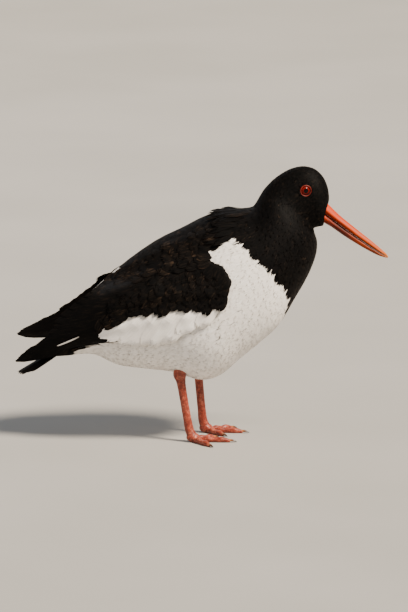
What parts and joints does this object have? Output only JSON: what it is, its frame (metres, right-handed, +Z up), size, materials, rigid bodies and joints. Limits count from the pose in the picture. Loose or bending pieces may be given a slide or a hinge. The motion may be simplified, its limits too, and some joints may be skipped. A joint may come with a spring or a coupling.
{
  "type": "oystercatcher",
  "caption": "Life-size Eurasian oystercatcher standing on both feet with folded wings, a still museum-style model.",
  "frame": {"origin": "on the floor, under the middle of the box round the whole bird", "axes": "+X the way the bird faces and its bill points, +Y the bird's left side, +Z up"},
  "size_m": [0.3478, 0.1164, 0.2556],
  "materials": {
    "plumage_black": "soft black feathers with a faint brown sheen",
    "plumage_white": "soft white feathers",
    "bill_orange": "smooth horn, orange red turning yellow at the tip",
    "eye_red": "wet gloss, deep red with a black pupil",
    "lid_orange": "bare orange red skin",
    "leg_pink": "scaly bare skin, salmon pink",
    "claw_horn": "dark horn"
  },
  "bodies": {
    "root": {"head": "plumage_black", "neck": "plumage_black", "torso": "plumage_white", "tail": "plumage_black", "wing_right": "plumage_black", "wing_left": "plumage_black", "bill_upper": "bill_orange", "bill_lower": "bill_orange", "eye_right": "eye_red", "eye_left": "eye_red", "eyelid_right": "lid_orange", "eyelid_left": "lid_orange", "leg_right": "leg_pink", "leg_left": "leg_pink", "foot_right": "leg_pink", "foot_left": "leg_pink", "claw_inner_right": "claw_horn", "claw_middle_right": "claw_horn", "claw_outer_right": "claw_horn", "claw_inner_left": "claw_horn", "claw_middle_left": "claw_horn", "claw_outer_left": "claw_horn"}
  },
  "joints": []
}
